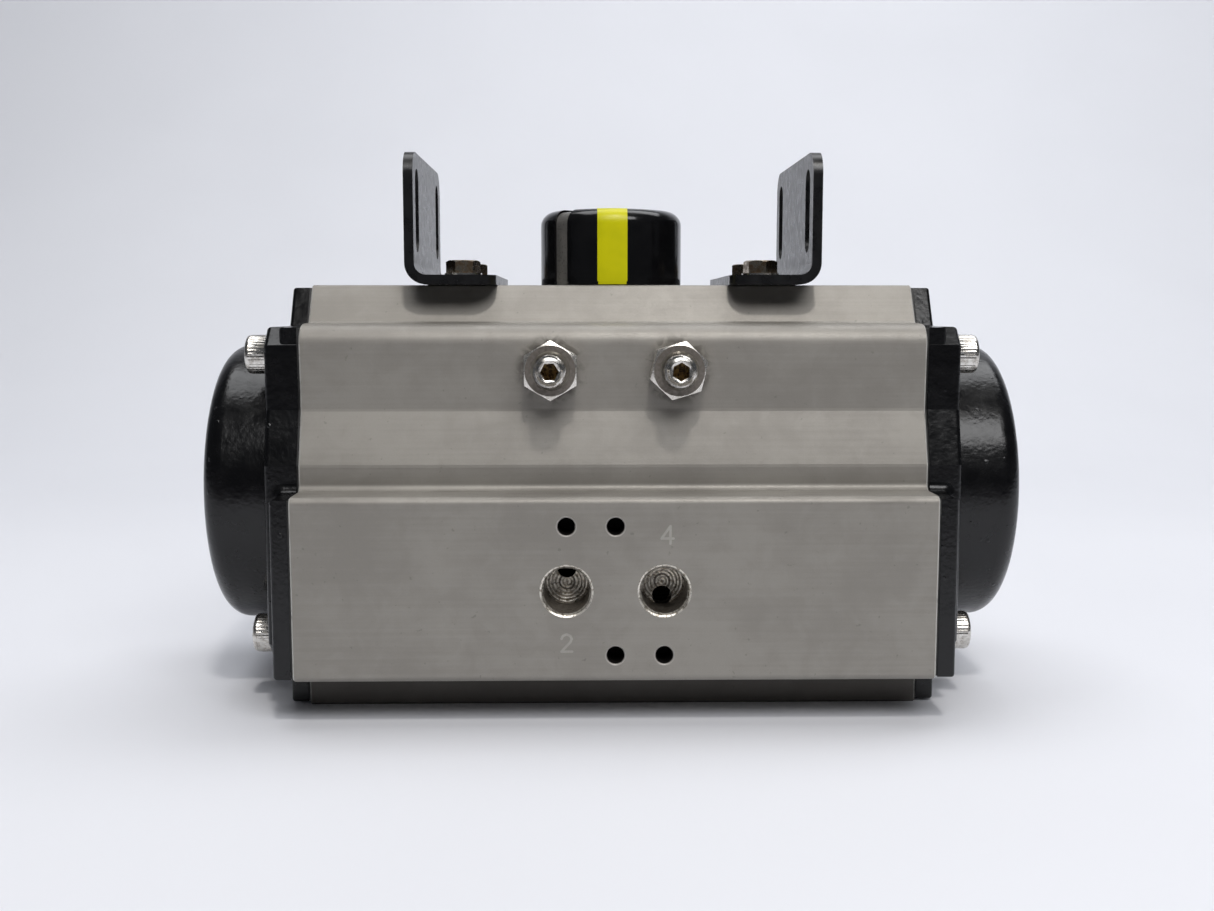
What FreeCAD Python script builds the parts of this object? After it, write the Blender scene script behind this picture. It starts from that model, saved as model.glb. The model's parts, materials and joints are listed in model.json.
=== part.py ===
"""Rotary pneumatic actuator: a double-acting rack-and-pinion quarter-turn drive.

Frame: millimetres, +X along the cylinder bore, +Y towards the back, +Z up.
The origin is on the pinion's axis, in the bottom face that bolts to a valve.
The front (-Y) carries the two air ports and the two travel stop screws.
"""

import FreeCAD
import Part
import Sketcher
import math
import os
import re
from FreeCAD import Placement, Rotation, Vector

SIZES = {
    # housing: an extruded profile with one long bore
    "body_length": 158.4,
    "body_height": 109,
    "bore_radius": 41.5,
    "bore_level": 54.5,
    "roof_half": 22,
    "strip_half": 28.1,
    "strip_level": 99.2,
    "shoulder_half": 41,
    "shoulder_level": 98.8,
    "shoulder_round": 5,
    "waist_half": 40.2,
    "waist_level": 77.3,
    "belt_half": 44.5,
    "belt_level": 63.5,
    "ledge_level": 57.3,
    "pad_reach": 57,
    "back_reach": 46,
    "skirt_half": 36.8,
    "skirt_level": 11.4,
    "edge_round": 1.8,
    "end_chamfer": 0.35,
    # air ports, their screw holes and the channels behind them
    "port_level": 34.1,
    "port_spread": 12,
    "port_radius": 5.72,
    "port_depth": 12,
    "port_chamfer": 0.8,
    "port_screw_rise": 16,
    "port_screw_radius": 2.1,
    "port_screw_depth": 10,
    "port_screw_chamfer": 0.4,
    "duct_radius": 2.5,
    "duct_shift": 3.6,
    "inner_duct_depth": 8.5,
    "outer_duct_depth": 4,
    "channel_reach": 41,
    "channel_level": 30,
    # valve flange: two bolt circles in the bottom face
    "large_circle": 70,
    "large_hole_radius": 3.4,
    "large_hole_depth": 12,
    "small_circle": 50,
    "small_hole_radius": 2.5,
    "small_hole_depth": 10,
    # accessory holes in the roof
    "roof_hole_x": 40,
    "roof_hole_y": 15,
    "roof_hole_depth": 9,
    # travel stops
    "stop_x": 16,
    "stop_level": 87.5,
    "stop_radius": 4,
    "stop_tip_radius": 2.5,
    "stop_tip_length": 5,
    "stop_length": 40.2,
    "stop_gap": 0.2,
    "stop_socket": 4,
    "stop_socket_depth": 5,
    "stop_nut_flats": 13,
    "stop_nut_height": 6.5,
    "stop_seal_radius": 6.2,
    "stop_seat_reach": 40,
    "stop_seal_height": 1.05,
    "stop_nut_turn": 13,
    "stop_nut_bevel": 0.9,
    "stop_tip_bevel": 0.4,
    "stop_tip_taper": 1,
    "stop_end_bevel": 0.9,
    # gaps: between turning pieces, between fixed pieces, and around screws and loose covers
    "running_gap": 0.05,
    "part_gap": 0.02,
    "loose_gap": 0.1,
    "screw_gap": 0.3,
    # pinion and its bearings
    "module": 2,
    "pinion_teeth": 16,
    "pressure_angle": 20,
    "tooth_foot": 1.25,
    "backlash": 0.3,
    "pinion_bottom": 0.5,
    "foot_radius": 19,
    "foot_top": 15,
    "core_radius": 15.5,
    "gear_bottom": 38,
    "gear_top": 71,
    "cam_seat_bottom": 81.8,
    "cam_seat_top": 89,
    "cam_seat_radius": 11.8,
    "cam_seat_flat": 10.6,
    "neck_radius": 10.3,
    "neck_top": 113.4,
    "stem_radius": 9,
    "stem_flats": 14,
    "stem_top": 122,
    "drive_square": 17,
    "drive_depth": 20,
    "low_groove_level": 8.3,
    "low_groove_height": 3,
    "low_groove_depth": 2.3,
    "low_seal_section": 1.15,
    "high_groove_level": 98,
    "high_groove_height": 2.4,
    "high_groove_depth": 1.6,
    "high_seal_section": 0.8,
    "ring_groove_level": 111.6,
    "ring_groove_height": 1.2,
    "ring_groove_depth": 1,
    "low_bush_radius": 21,
    "low_bush_height": 6.5,
    "high_bush_radius": 13,
    "high_bush_height": 7,
    # stop cam
    "cam_radius": 23,
    "cam_height": 6.2,
    "cam_flat": 14,
    "cam_bevel": 3.5,
    # washers and snap ring on the roof
    "slide_washer_radius": 16.5,
    "slide_washer_height": 1.5,
    "steel_washer_height": 0.9,
    "washer_gap": 0.1,
    "snap_ring_radius": 13,
    "snap_ring_height": 1.1,
    "snap_ring_mouth": 5,
    # position indicator
    "cap_radius": 19.55,
    "cap_bottom": 110.1,
    "cap_top": 129.5,
    "cap_round": 4,
    "cap_cavity_radius": 17.1,
    "cap_cavity_top": 114,
    "pointer_width": 8,
    "pointer_proud": 0.2,
    "pointer_sink": 0.5,
    "index_width": 4.8,
    "index_sink": 0.6,
    "index_depth": 1.8,
    "index_turn": 45,
    "indicator_well_radius": 5.5,
    "indicator_well_level": 125.5,
    "indicator_screw_radius": 2.5,
    "indicator_screw_bottom": 112,
    "indicator_head_radius": 4.7,
    "indicator_head_height": 3.2,
    "indicator_socket_radius": 1.75,
    "stem_hole_spare": 2,
    # pistons with their rack arms
    "piston_inner": 35.5,
    "piston_thick": 14,
    "piston_radius": 40.9,
    "piston_recess_radius": 27,
    "piston_recess_depth": 4,
    "band_start": 37.5,
    "band_width": 4,
    "band_depth": 1.3,
    "seal_start": 43.8,
    "seal_width": 3.2,
    "seal_depth": 2.6,
    "seal_section": 1.5,
    "rack_height": 24,
    "rack_back": 36.5,
    "rack_end": 34.2,
    "rack_addendum": 1.8,
    "rack_run_out": 1,
    "rack_overlap": 1,
    "rack_gaps": 8,
    "pad_half_length": 16,
    "pad_half_height": 9,
    # end caps
    "gasket_thick": 0.6,
    "gasket_inset": 1,
    "lid_inset": 0.7,
    "lid_thick": 5,
    "block_thick": 9,
    "block_half": 44,
    "block_top_half": 40.3,
    "block_top": 98.2,
    "block_bottom": 11.8,
    "block_shoulder": 4.5,
    "block_heel": 6,
    "block_round": 1.4,
    "block_foot_round": 2.5,
    "lid_round": 1,
    "dome_radius": 38.3,
    "dome_reach": 106.1,
    "dome_round": 5.5,
    "dome_wall": 4,
    "lid_screw_y": 31,
    "lid_screw_z": 36.6,
    "lid_screw_radius": 3,
    "lid_screw_length": 20,
    "lid_screw_head_radius": 5,
    "lid_screw_head_height": 6,
    "lid_screw_round": 0.8,
    "lid_screw_socket": 5,
    "lid_screw_socket_depth": 3,
    # accessory brackets
    "sheet_thick": 2.5,
    "bracket_outer": 53.6,
    "bracket_inner": 30.4,
    "bracket_half": 32,
    "bracket_rise": 34,
    "bracket_bend": 5.5,
    "bracket_corner": 6,
    "slot_y": 23.6,
    "slot_width": 7,
    "slot_bottom": 8.5,
    "slot_top": 30,
    "bracket_hole_radius": 2.75,
    "washer_radius": 5,
    "washer_height": 0.8,
    "bolt_radius": 2.5,
    "bolt_flats": 8,
    "bolt_head_height": 3.4,
    "bolt_length": 10,
    # radius of the round face on a bevelled hexagon, as a share of its width across flats
    "hex_land": 0.485,
}

FORWARD = Rotation(Vector(1, 0, 0), 90)  # turns local +Z to -Y, out of the front
RIGHTWARD = Rotation(Vector(0, 1, 0), 90)  # turns local +Z to +X
LEFTWARD = Rotation(Vector(0, 1, 0), -90)  # turns local +Z to -X
HALF_TURN = Rotation(Vector(0, 0, 1), 180)  # swaps right with left and front with back
UPRIGHT = Rotation()
CENTRE = ("0", "0", "0")
SIDES = {"right": 1, "left": -1}
OVERSHOOT = "5"  # how far a cutter runs past the face that it enters by
NEAR = 0.01  # how close two lengths are when they count as the same

doc = FreeCAD.newDocument("rotary_actuator")
sheet = doc.addObject("Spreadsheet::Sheet", "dims")
for row, (alias, number) in enumerate(SIZES.items(), start=1):
    sheet.set(f"A{row}", alias)
    sheet.set(f"B{row}", str(number))
    sheet.setAlias(f"B{row}", alias)
doc.recompute()
pieces = []


# ---------------------------------------------------------------- helpers


def bound(text):
    """An expression with each size's name pointed at the spreadsheet."""
    return re.sub(r"[a-z_]+", lambda m: f"dims.{m[0]}" if m[0] in SIZES else m[0], text)


def value(text):
    """The number that an expression gives with the spreadsheet's present sizes."""
    found = sheet.evalExpression(bound(text))
    return float(getattr(found, "Value", found))


def minus(text):
    return f"-({text})"


def drive(item, **expressions):
    """Ties properties of an object to expressions; Placement.Base is given as x, y and z."""
    for name, text in expressions.items():
        path = f"Placement.Base.{name}" if name in ("x", "y", "z") else name
        item.setExpression(path, bound(text))
    return item


def place(item, base, turn):
    item.Placement = Placement(Vector(), turn)
    return drive(item, x=base[0], y=base[1], z=base[2])


def keep(item, label):
    """Names a finished piece, which is then exported."""
    item.Label = label
    pieces.append(item)
    return item


def new_body(label, base=CENTRE, turn=UPRIGHT):
    body = doc.addObject("PartDesign::Body", label)
    place(body, base, turn)
    return keep(body, label)


def sketch_on(body, plane, lift="0"):
    """A sketch on one of the body's origin planes, raised along the plane's normal."""
    sketch = body.newObject("Sketcher::SketchObject", f"{body.Name}_sketch")
    role = f"{plane}_Plane"
    support = next(item for item in body.Origin.OriginFeatures if item.Role == role)
    sketch.AttachmentSupport = (support, [""])
    sketch.MapMode = "FlatFace"
    sketch.setExpression("AttachmentOffset.Base.z", bound(lift))
    return sketch


def pin(sketch, geometry, vertex, across, upward):
    """Ties one point of a sketch to the sketch's origin by two expressions."""
    for kind, text, axis in (("DistanceX", across, -2), ("DistanceY", upward, -1)):
        if abs(value(text)) < 1e-9:
            sketch.addConstraint(Sketcher.Constraint("PointOnObject", geometry, vertex, axis))
            continue
        rule = Sketcher.Constraint(kind, -1, 1, geometry, vertex, value(text))
        sketch.setExpression(f"Constraints[{sketch.addConstraint(rule)}]", bound(text))


def polygon(sketch, corners):
    spots = [Vector(value(across), value(upward), 0) for across, upward in corners]
    first = sketch.GeometryCount
    count = len(corners)
    for start, end in zip(spots, spots[1:] + spots[:1]):
        sketch.addGeometry(Part.LineSegment(start, end), False)
    for i in range(count):
        following = first + (i + 1) % count
        sketch.addConstraint(Sketcher.Constraint("Coincident", first + i, 2, following, 1))
    for i, (across, upward) in enumerate(corners):
        pin(sketch, first + i, 1, across, upward)


def rectangle(sketch, left, right, low, high):
    polygon(sketch, [(left, low), (right, low), (right, high), (left, high)])


def circle(sketch, across, upward, radius):
    spot = Vector(value(across), value(upward), 0)
    index = sketch.addGeometry(Part.Circle(spot, Vector(0, 0, 1), value(radius)), False)
    pin(sketch, index, 3, across, upward)
    rule = sketch.addConstraint(Sketcher.Constraint("Radius", index, value(radius)))
    sketch.setExpression(f"Constraints[{rule}]", bound(radius))


def hexagon_corners(flats):
    """The corners of a hexagon about the origin, from its width across flats."""
    reach = f"{flats} / 2 / cos(30 deg)"
    angles = range(30, 390, 60)
    return [(f"{reach} * cos({a} deg)", f"{reach} * sin({a} deg)") for a in angles]


def feature(body, kind, sketch, reverse=False, **expressions):
    """Adds one sketch-based feature, and stops if it didn't change the volume as its kind should."""
    before = body.Shape.Volume if body.Tip else 0.0
    item = body.newObject(f"PartDesign::{kind}", f"{body.Name}_{kind.lower()}")
    item.Profile = sketch
    item.Reversed = reverse
    drive(item, **expressions)
    doc.recompute()
    change = body.Shape.Volume - before
    if abs(change) < 1e-3 or (change > 0) != (kind == "Pad"):
        raise ValueError(f"{item.Name} changed the volume of {body.Label} by {change}")
    return item


def pad(body, sketch, length, reverse=False):
    return feature(body, "Pad", sketch, reverse, Length=length)


def pocket(body, sketch, depth, reverse=False):
    return feature(body, "Pocket", sketch, reverse, Length=depth)


def revolve(body, corners, axis="V_Axis"):
    """Turns an outline in the XZ plane about one axis of its sketch."""
    sketch = sketch_on(body, "XZ")
    polygon(sketch, corners)
    item = body.newObject("PartDesign::Revolution", f"{body.Name}_revolution")
    item.Profile = sketch
    item.ReferenceAxis = (sketch, [axis])
    item.Angle = 360
    doc.recompute()
    return item


def dress(body, kind, size, chosen):
    """Rounds or bevels the edges of the body's present shape for which chosen(edge) is true."""
    base = body.Tip
    names = [f"Edge{i}" for i, edge in enumerate(base.Shape.Edges, 1) if chosen(edge)]
    if not names:
        raise ValueError(f"no edge of {body.Label} was chosen for a {kind}")
    item = body.newObject(f"PartDesign::{kind}", f"{body.Name}_{kind.lower()}")
    item.Base = (base, names)
    drive(item, **{"Radius" if kind == "Fillet" else "Size": size})
    doc.recompute()
    return item


def long_edge_at(level, reach):
    """Picks the edges that run along X at one height and one distance from the middle plane."""

    def chosen(edge):
        ends = [vertex.Point for vertex in edge.Vertexes]
        return len(ends) == 2 and all(
            abs(p.z - value(level)) < NEAR and abs(p.y - value(reach)) < NEAR for p in ends
        )

    return chosen


def any_of(*tests):
    return lambda edge: any(test(edge) for test in tests)


def primitive(kind, base, turn, **expressions):
    return drive(place(doc.addObject(f"Part::{kind}", kind), base, turn), **expressions)


def cylinder(radius, height, base=CENTRE, turn=UPRIGHT):
    return primitive("Cylinder", base, turn, Radius=radius, Height=height)


def box(length, width, height, base=CENTRE, turn=UPRIGHT):
    return primitive("Box", base, turn, Length=length, Width=width, Height=height)


def cut(base, *tools):
    for tool in tools:
        result = doc.addObject("Part::Cut", "Cut")
        result.Base, result.Tool = base, tool
        base = result
    return base


def common(base, tool):
    result = doc.addObject("Part::Common", "Common")
    result.Base, result.Tool = base, tool
    return result


def fuse(*shapes):
    result = doc.addObject("Part::MultiFuse", "Fuse")
    result.Shapes = list(shapes)
    return result


def group(shapes):
    result = doc.addObject("Part::Compound", "Group")
    result.Links = list(shapes)
    return result


def ring(label, outer, inner, height, base=CENTRE, turn=UPRIGHT):
    return keep(cut(cylinder(outer, height, base, turn), cylinder(inner, height, base, turn)), label)


def o_ring(label, centre_radius, section_radius, base, turn=UPRIGHT):
    """A torus about the piece's own Z axis."""
    return keep(primitive("Torus", base, turn, Radius1=centre_radius, Radius2=section_radius), label)


def hex_block(flats, height, base, turn, both_ends=False):
    """A hexagonal prism whose corners are bevelled at 30 degrees at its outer end, or at both."""
    block = doc.addObject("Part::Prism", "Hexagon")
    block.Polygon = 6
    drive(place(block, base, turn), Circumradius=f"{flats} / 2 / cos(30 deg)", Height=height)
    land = f"{flats} * hex_land"
    spread = f"{land} + {height} / tan(30 deg)"
    block = common(block, primitive("Cone", base, turn, Radius1=spread, Radius2=land, Height=height))
    if both_ends:
        cone = primitive("Cone", base, turn, Radius1=land, Radius2=spread, Height=height)
        block = common(block, cone)
    return block


# ---------------------------------------------------------------- housing


def profile(inset="0"):
    """Corners (Y, Z) of the extruded section, moved inwards by inset, front side first."""
    half = [
        ("roof_half", f"body_height - {inset}"),
        (f"strip_half - {inset}", f"strip_level - {inset}"),
        (f"shoulder_half - {inset}", f"shoulder_level - {inset}"),
        (f"waist_half - {inset}", "waist_level"),
        (f"belt_half - {inset}", "belt_level"),
        (f"belt_half - {inset}", f"ledge_level - {inset}"),
    ]
    foot = [(f"skirt_half - {inset}", f"skirt_level + {inset}"), (f"skirt_half - {inset}", inset)]

    def side(reach):
        lower = [(f"{reach} - {inset}", f"ledge_level - {inset}")]
        lower.append((f"{reach} - {inset}", f"skirt_level + {inset}"))
        return half + lower + foot

    front = [(minus(across), upward) for across, upward in side("pad_reach")]
    return front + side("back_reach")[::-1]


def make_housing():
    body = new_body("housing")
    outline = sketch_on(body, "YZ", "-body_length / 2")
    polygon(outline, profile())
    pad(body, outline, "body_length")
    dress(
        body,
        "Fillet",
        "shoulder_round",
        any_of(
            long_edge_at("shoulder_level", "-shoulder_half"),
            long_edge_at("shoulder_level", "shoulder_half"),
        ),
    )
    dress(
        body,
        "Fillet",
        "edge_round",
        any_of(
            long_edge_at("ledge_level", "-belt_half"),
            long_edge_at("ledge_level", "-pad_reach"),
            long_edge_at("skirt_level", "-pad_reach"),
            long_edge_at("skirt_level", "back_reach"),
        ),
    )
    end = value("body_length / 2")
    dress(
        body,
        "Chamfer",
        "end_chamfer",
        lambda edge: all(abs(abs(v.X) - end) < NEAR for v in edge.Vertexes),
    )
    bore = sketch_on(body, "YZ", "-body_length / 2")
    circle(bore, "0", "bore_level", "bore_radius")
    circle(bore, "-channel_reach", "channel_level", "duct_radius")
    pocket(body, bore, "body_length", reverse=True)
    cut_pinion_holes(body)
    cut_flange_holes(body)
    cut_ports(body)
    cut_stop_holes(body)
    cut_lid_screw_holes(body)


def cut_pinion_holes(body):
    """The stepped holes that hold the pinion's bushes, in the floor and in the roof."""
    steps = [
        ("0", "foot_radius + running_gap", "bore_level", True),
        ("0", "low_bush_radius", "low_bush_height", True),
        ("body_height", "neck_radius + running_gap", "body_height - bore_level", False),
        ("body_height", "high_bush_radius", "high_bush_height", False),
    ]
    for level, radius, depth, upwards in steps:
        sketch = sketch_on(body, "XY", level)
        circle(sketch, "0", "0", radius)
        pocket(body, sketch, depth, reverse=upwards)


def cut_flange_holes(body):
    """Two bolt circles in the floor, and the four accessory holes in the roof."""
    for size in ("large", "small"):
        sketch = sketch_on(body, "XY")
        for angle in range(45, 405, 90):
            reach = f"{size}_circle / 2"
            across = f"{reach} * cos({angle} deg)"
            circle(sketch, across, f"{reach} * sin({angle} deg)", f"{size}_hole_radius")
        pocket(body, sketch, f"{size}_hole_depth", reverse=True)
    sketch = sketch_on(body, "XY", "body_height")
    for across in ("roof_hole_x", "-roof_hole_x"):
        for upward in ("roof_hole_y", "-roof_hole_y"):
            circle(sketch, across, upward, "bolt_radius + running_gap")
    pocket(body, sketch, "roof_hole_depth")


def mouths_at(reach, radius):
    """Picks the round edges of one radius that lie in a plane facing the front."""

    def chosen(edge):
        round_edge = isinstance(edge.Curve, Part.Circle)
        return (
            round_edge
            and abs(edge.Curve.Radius - value(radius)) < NEAR
            and abs(edge.Curve.Center.y + value(reach)) < NEAR
        )

    return chosen


def cut_ports(body):
    """The interface on the front pad: two air ports, four screw holes, and the ducts inside."""
    ports = sketch_on(body, "XZ", "pad_reach")
    for across in ("-port_spread", "port_spread"):
        circle(ports, across, "port_level", "port_radius")
    pocket(body, ports, "port_depth")
    screws = sketch_on(body, "XZ", "pad_reach")
    above = "port_level + port_screw_rise"
    below = "port_level - port_screw_rise"
    for across, upward in (("-port_spread", above), ("0", above), ("0", below), ("port_spread", below)):
        circle(screws, across, upward, "port_screw_radius")
    pocket(body, screws, "port_screw_depth")
    dress(body, "Chamfer", "port_chamfer", mouths_at("pad_reach", "port_radius"))
    dress(body, "Chamfer", "port_screw_chamfer", mouths_at("pad_reach", "port_screw_radius"))
    inner = sketch_on(body, "XZ", "pad_reach - port_depth")
    circle(inner, "-port_spread", "port_level + duct_shift", "duct_radius")
    pocket(body, inner, "inner_duct_depth")
    outer = sketch_on(body, "XZ", "pad_reach - port_depth")
    circle(outer, "port_spread", "port_level - duct_shift", "duct_radius")
    pocket(body, outer, "outer_duct_depth")


def cut_stop_holes(body):
    """Threaded holes for the stop screws, each with a flat seat for its seal."""
    for start, depth, radius in (
        ("pad_reach", "pad_reach", "stop_radius + running_gap"),
        ("pad_reach", "pad_reach - stop_seat_reach", "stop_seal_radius + part_gap"),
    ):
        sketch = sketch_on(body, "XZ", start)
        for across in ("-stop_x", "stop_x"):
            circle(sketch, across, "stop_level", radius)
        pocket(body, sketch, depth)


def cut_lid_screw_holes(body):
    for plane_side, reverse in (("body_length / 2", False), ("-body_length / 2", True)):
        sketch = sketch_on(body, "YZ", plane_side)
        for across in ("lid_screw_y", "-lid_screw_y"):
            for upward in ("bore_level + lid_screw_z", "bore_level - lid_screw_z"):
                circle(sketch, across, upward, "lid_screw_radius + running_gap")
        pocket(body, sketch, "lid_screw_length", reverse=reverse)


# ---------------------------------------------------------------- end caps


def lid_holes(sketch, radius):
    for across in ("lid_screw_y", "-lid_screw_y"):
        for upward in ("bore_level + lid_screw_z", "bore_level - lid_screw_z"):
            circle(sketch, across, upward, radius)


def rim_at(sign, reach):
    """Picks the edges that lie in one plane across the bore's axis."""
    plane = sign * value(reach)
    return lambda edge: all(abs(v.X - plane) < NEAR for v in edge.Vertexes)


def make_gasket(side, sign):
    body = new_body(f"end_cap_gasket_{side}")
    sketch = sketch_on(body, "YZ", f"{sign} * body_length / 2")
    polygon(sketch, profile("gasket_inset"))
    circle(sketch, "0", "bore_level", "bore_radius")
    circle(sketch, "-channel_reach", "channel_level", "duct_radius")
    lid_holes(sketch, "lid_screw_radius + screw_gap")
    pad(body, sketch, "gasket_thick", reverse=sign < 0)


def make_end_cap(side, sign):
    """A cast cover: a thin lid, a thicker block in its middle, and a round hollow dome."""
    body = new_body(f"end_cap_{side}")
    inner_face = "(body_length / 2 + gasket_thick)"
    start = f"{sign} * {inner_face}"
    outwards = sign < 0
    lid = sketch_on(body, "YZ", start)
    polygon(lid, profile("lid_inset"))
    pad(body, lid, "lid_thick - gasket_thick", reverse=outwards)
    dress(body, "Fillet", "lid_round", rim_at(sign, "body_length / 2 + lid_thick"))
    block = sketch_on(body, "YZ", start)
    half = [
        ("block_top_half - block_shoulder", "block_top"),
        ("block_top_half", "block_top - block_shoulder"),
        ("block_top_half", "waist_level"),
        ("block_half", "belt_level"),
        ("block_half", "block_bottom + block_heel"),
        ("block_half - block_heel", "block_bottom"),
    ]
    polygon(block, [(minus(a), b) for a, b in half] + half[::-1])
    pad(body, block, "block_thick - gasket_thick", reverse=outwards)
    dress(body, "Fillet", "block_round", rim_at(sign, "body_length / 2 + block_thick"))
    foot = (value("block_half"), value("ledge_level - lid_inset"))

    def at_foot(edge):
        ends = [v.Point for v in edge.Vertexes]
        return all(abs(p.y + foot[0]) < NEAR and abs(p.z - foot[1]) < NEAR for p in ends)

    dress(body, "Fillet", "block_foot_round", at_foot)
    dome = sketch_on(body, "YZ", start)
    circle(dome, "0", "bore_level", "dome_radius")
    pad(body, dome, f"dome_reach - {inner_face}", reverse=outwards)
    dress(body, "Fillet", "dome_round", rim_at(sign, "dome_reach"))
    hollow = sketch_on(body, "YZ", start)
    circle(hollow, "0", "bore_level", "dome_radius - dome_wall")
    pocket(body, hollow, f"dome_reach - dome_wall - {inner_face}", reverse=not outwards)
    holes = sketch_on(body, "YZ", start)
    lid_holes(holes, "lid_screw_radius + screw_gap")
    pocket(body, holes, "block_thick", reverse=not outwards)
    transfer = sketch_on(body, "YZ", start)
    rectangle(
        transfer,
        "-channel_reach - duct_radius",
        "-dome_radius / 2",
        "channel_level - duct_radius",
        "channel_level + duct_radius",
    )
    pocket(body, transfer, "duct_radius", reverse=not outwards)


def make_lid_screws(side, sign):
    """Four socket head screws that hold one end cap."""
    turn = RIGHTWARD if sign > 0 else LEFTWARD
    face = f"{sign} * (body_length / 2 + block_thick)"
    tail = f"{sign} * (body_length / 2 + block_thick - lid_screw_length)"
    socket_floor = (
        f"{sign} * (body_length / 2 + block_thick + lid_screw_head_height - lid_screw_socket_depth)"
    )
    screws = []
    for y in ("lid_screw_y", "-lid_screw_y"):
        for z in ("bore_level + lid_screw_z", "bore_level - lid_screw_z"):
            head = cylinder("lid_screw_head_radius", "lid_screw_head_height", (face, y, z), turn)
            rounded = doc.addObject("Part::Fillet", "Rounded")
            rounded.Base = head
            doc.recompute()
            on_top = rim_at(sign, "body_length / 2 + block_thick + lid_screw_head_height")
            size = value("lid_screw_round")
            edges = enumerate(head.Shape.Edges, 1)
            rounded.Edges = [(i, size, size) for i, edge in edges if on_top(edge)]
            shank = cylinder("lid_screw_radius", "lid_screw_length", (tail, y, z), turn)
            socket = doc.addObject("Part::Prism", "Socket")
            socket.Polygon = 6
            drive(
                place(socket, (socket_floor, y, z), turn),
                Circumradius="lid_screw_socket / 2 / cos(30 deg)",
                Height=f"lid_screw_socket_depth + {OVERSHOOT}",
            )
            screws.append(cut(fuse(rounded, shank), socket))
    keep(group(screws), f"end_cap_screws_{side}")


# ---------------------------------------------------------------- pinion


def pitch_radius():
    return value("module * pinion_teeth / 2")


def tooth_half_angle(radius):
    """Half the angle, in radians, that a pinion tooth fills at one radius, for an involute flank."""
    pressure = math.radians(value("pressure_angle"))
    base_radius = pitch_radius() * math.cos(pressure)
    local = math.acos(min(1.0, base_radius / radius))
    thickness = math.pi / 2 * value("module") - value("backlash") / 2
    at_pitch = thickness / 2 / pitch_radius()
    return at_pitch + (math.tan(pressure) - pressure) - (math.tan(local) - local)


def gap_corner(radius, flank):
    """A point on one flank of the gap between two teeth; the gap faces -Y."""
    half_gap = math.pi / value("pinion_teeth") - tooth_half_angle(radius)
    angle = -math.pi / 2 + flank * half_gap
    return Vector(radius * math.cos(angle), radius * math.sin(angle), 0)


def tooth_gap(sketch):
    """One gap of the pinion: radial walls at the root, involute arcs, and a mouth past the tips."""
    tip = pitch_radius() + value("module")
    root = pitch_radius() - value("tooth_foot * module")
    base = pitch_radius() * math.cos(math.radians(value("pressure_angle"))) + NEAR
    outside = tip + value("module")
    edges = []
    for flank in (-1, 1):
        low, high = gap_corner(base, flank), gap_corner(tip, flank)
        middle = gap_corner((base + tip) / 2, flank)
        foot = Vector(low).multiply(root / base)
        mouth = Vector(high).multiply(outside / tip)
        run = [Part.LineSegment(foot, low), Part.Arc(low, middle, high), Part.LineSegment(high, mouth)]
        edges.append((foot, mouth, run))
    (foot_a, mouth_a, run_a), (foot_b, mouth_b, run_b) = edges
    closing = [Part.LineSegment(mouth_a, mouth_b), Part.LineSegment(foot_b, foot_a)]
    for curve in run_a + run_b + closing:
        index = sketch.addGeometry(curve, False)
        sketch.addConstraint(Sketcher.Constraint("Block", index))


def groove(radius, level, height, depth):
    """The four corners of a groove in a turned outline, from below to above."""
    inside = f"{radius} - {depth}"
    top = f"{level} + {height}"
    return [(radius, level), (inside, level), (inside, top), (radius, top)]


def make_pinion():
    body = new_body("pinion")
    gear_radius = "module * (pinion_teeth / 2 + 1)"
    revolve(
        body,
        [("0", "pinion_bottom"), ("foot_radius", "pinion_bottom")]
        + groove("foot_radius", "low_groove_level", "low_groove_height", "low_groove_depth")
        + [("foot_radius", "foot_top"), ("core_radius", "foot_top"), ("core_radius", "gear_bottom")]
        + [(gear_radius, "gear_bottom"), (gear_radius, "gear_top")]
        + [("core_radius", "gear_top"), ("core_radius", "cam_seat_bottom")]
        + [("cam_seat_radius", "cam_seat_bottom"), ("cam_seat_radius", "cam_seat_top")]
        + [("neck_radius", "cam_seat_top")]
        + groove("neck_radius", "high_groove_level", "high_groove_height", "high_groove_depth")
        + groove("neck_radius", "ring_groove_level", "ring_groove_height", "ring_groove_depth")
        + [("neck_radius", "neck_top"), ("stem_radius", "neck_top")]
        + [("stem_radius", "stem_top"), ("0", "stem_top")],
    )
    flats = sketch_on(body, "XY", "stem_top")
    for sign in (1, -1):
        near, far = f"{sign} * stem_flats / 2", f"{sign} * (stem_radius + {OVERSHOOT})"
        rectangle(flats, *sorted((near, far), key=value), "-stem_radius", "stem_radius")
    pocket(body, flats, "stem_top - neck_top")
    tapped = sketch_on(body, "XY", "stem_top")
    circle(tapped, "0", "0", "indicator_screw_radius + running_gap")
    pocket(body, tapped, "stem_top - indicator_screw_bottom + stem_hole_spare")
    seat = sketch_on(body, "XY", "cam_seat_bottom")
    outside = f"-cam_seat_radius - {OVERSHOOT}"
    rectangle(seat, outside, "-cam_seat_flat", "-cam_seat_radius", "cam_seat_radius")
    pocket(body, seat, "cam_seat_top - cam_seat_bottom", reverse=True)
    socket = sketch_on(body, "XY", "pinion_bottom")
    points = []
    for step in range(16):
        reach = "drive_square / sqrt(2)" if step % 2 == 0 else "drive_square / 2 / cos(22.5 deg)"
        angle = 22.5 * step + 45
        points.append((f"{reach} * cos({angle} deg)", f"{reach} * sin({angle} deg)"))
    polygon(socket, points)
    pocket(body, socket, "drive_depth", reverse=True)
    gap = sketch_on(body, "XY", "gear_top")
    tooth_gap(gap)
    first = pocket(body, gap, "gear_top - gear_bottom")
    teeth = body.newObject("PartDesign::PolarPattern", "pinion_teeth_pattern")
    teeth.Originals = [first]
    teeth.Axis = (gap, ["N_Axis"])
    teeth.Angle = 360
    teeth.setExpression("Occurrences", bound("pinion_teeth"))
    body.Tip = teeth
    doc.recompute()


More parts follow.
